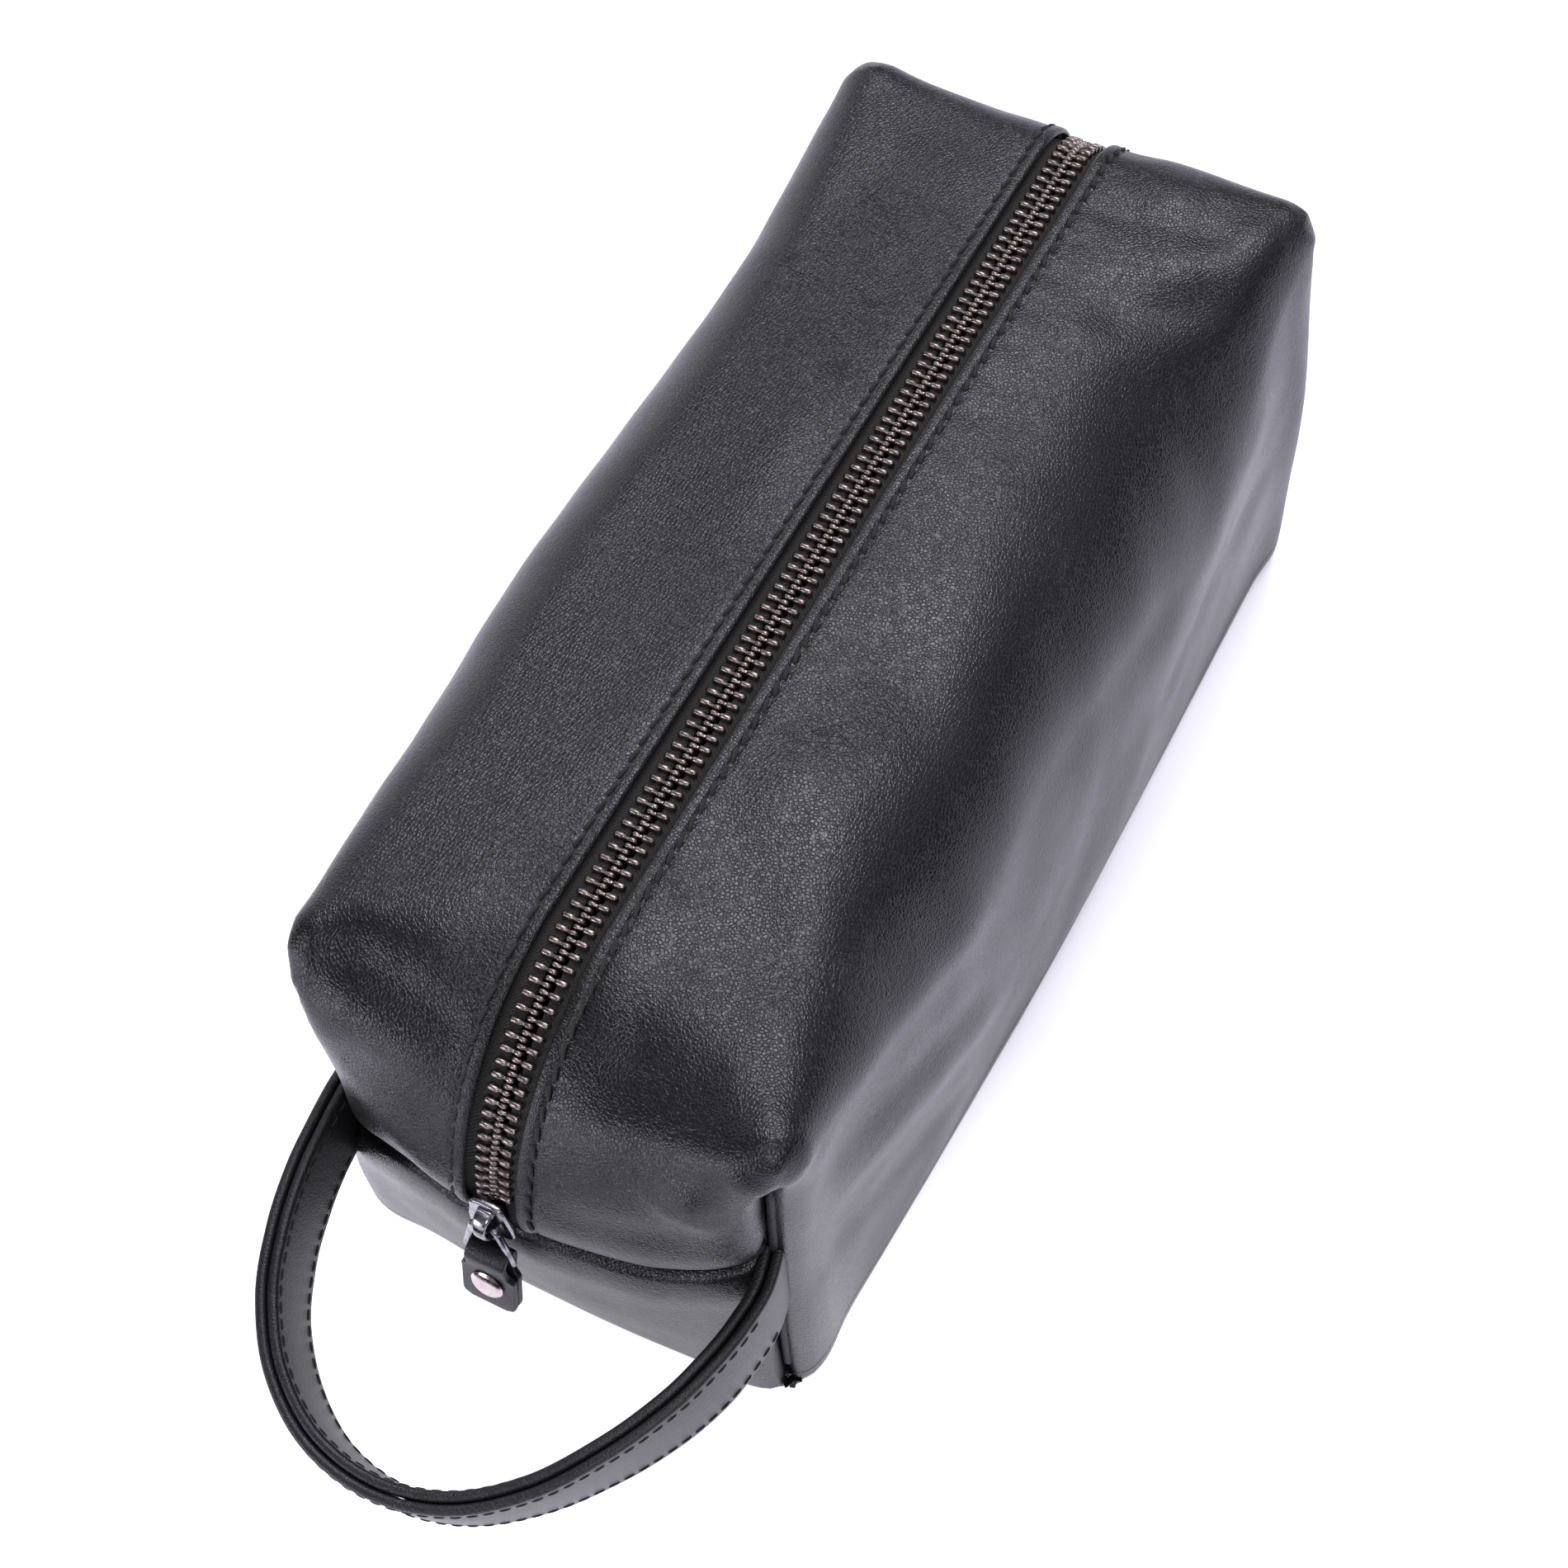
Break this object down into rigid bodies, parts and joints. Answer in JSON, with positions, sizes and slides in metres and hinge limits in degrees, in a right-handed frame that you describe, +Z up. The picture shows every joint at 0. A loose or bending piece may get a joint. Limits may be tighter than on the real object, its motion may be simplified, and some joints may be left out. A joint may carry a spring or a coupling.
{
  "type": "shaving kit bag",
  "caption": "Soft box-cornered leather bag with a metal zip over the top and down both ends, a leather pull tab and a side carry strap",
  "frame": {"origin": "centre of the rectangle between the corner seams, on the underside of the bottom panel", "axes": "+X along the bag towards the end with the strap and the zip slider, +Y across it, +Z up"},
  "size_m": [0.291, 0.104, 0.104],
  "materials": {
    "body_leather": "black smooth full-grain leather, semi-gloss, fine creases",
    "strap_leather": "black strap leather, satin, with burnished edges",
    "lining": "dark grey plain-woven lining cloth, matt",
    "binding": "black woven binding tape, matt",
    "zip_tape": "black-brown twill zip tape, matt",
    "zip_teeth": "antique nickel on brass, dark, satin",
    "slider_metal": "dark polished nickel",
    "rivet_metal": "bright nickel"
  },
  "bodies": {
    "bag_base": {"bottom_panel": "body_leather", "bottom_lining": "lining", "near_end_lining": "lining", "far_end_lining": "lining", "near_seam_binding": "binding", "far_seam_binding": "binding", "corner_binding_near_left": "binding", "corner_binding_near_right": "binding", "corner_binding_far_left": "binding", "corner_binding_far_right": "binding", "strap_tail_left": "strap_leather", "strap_tail_right": "strap_leather"},
    "mouth_left": {"left_panel": "body_leather", "left_lining": "lining", "zip_tape_left": "zip_tape", "zip_teeth_left": "zip_teeth"},
    "mouth_right": {"right_panel": "body_leather", "right_lining": "lining", "zip_tape_right": "zip_tape", "zip_teeth_right": "zip_teeth"},
    "slider": {"slider_body": "slider_metal", "slider_crown": "slider_metal"},
    "puller": {"pull_link": "slider_metal"},
    "tab": {"pull_tab": "strap_leather", "rivet_cap": "rivet_metal", "rivet_back": "rivet_metal"},
    "handle": {"strap_outer": "strap_leather", "strap_inner": "strap_leather"}
  },
  "joints": [
    {"name": "mouth_left_open", "type": "hinge", "parent": "bag_base", "child": "mouth_left", "pos_m": [0, -0.0495, 0.006], "axis": [1, 0, 0], "range_deg": [0, 16]},
    {"name": "mouth_right_open", "type": "hinge", "parent": "bag_base", "child": "mouth_right", "pos_m": [0, 0.0495, 0.006], "axis": [-1, 0, 0], "range_deg": [0, 16]},
    {"name": "zip_travel", "type": "hinge", "parent": "bag_base", "child": "slider", "pos_m": [0.088, 0, 0.064], "axis": [0, -1, 0], "range_deg": [0, 85], "deforming": ["zip_teeth_left", "zip_teeth_right"]},
    {"name": "link_lift", "type": "hinge", "parent": "slider", "child": "puller", "pos_m": [0.131, 0, 0.064], "axis": [0, -1, 0], "range_deg": [0, 130]},
    {"name": "tab_fold", "type": "hinge", "parent": "puller", "child": "tab", "pos_m": [0.13173, 0, 0.05353], "axis": [0, -1, 0], "range_deg": [-6, 45]},
    {"name": "handle_swing", "type": "hinge", "parent": "bag_base", "child": "handle", "pos_m": [0.133, 0, 0.0485], "axis": [0, -1, 0], "range_deg": [-30, 30], "stiffness_Nm_per_rad": 0.12}
  ],
  "couplings": [
    {"joint": "mouth_right_open", "follows": "mouth_left_open", "ratio": 1}
  ]
}
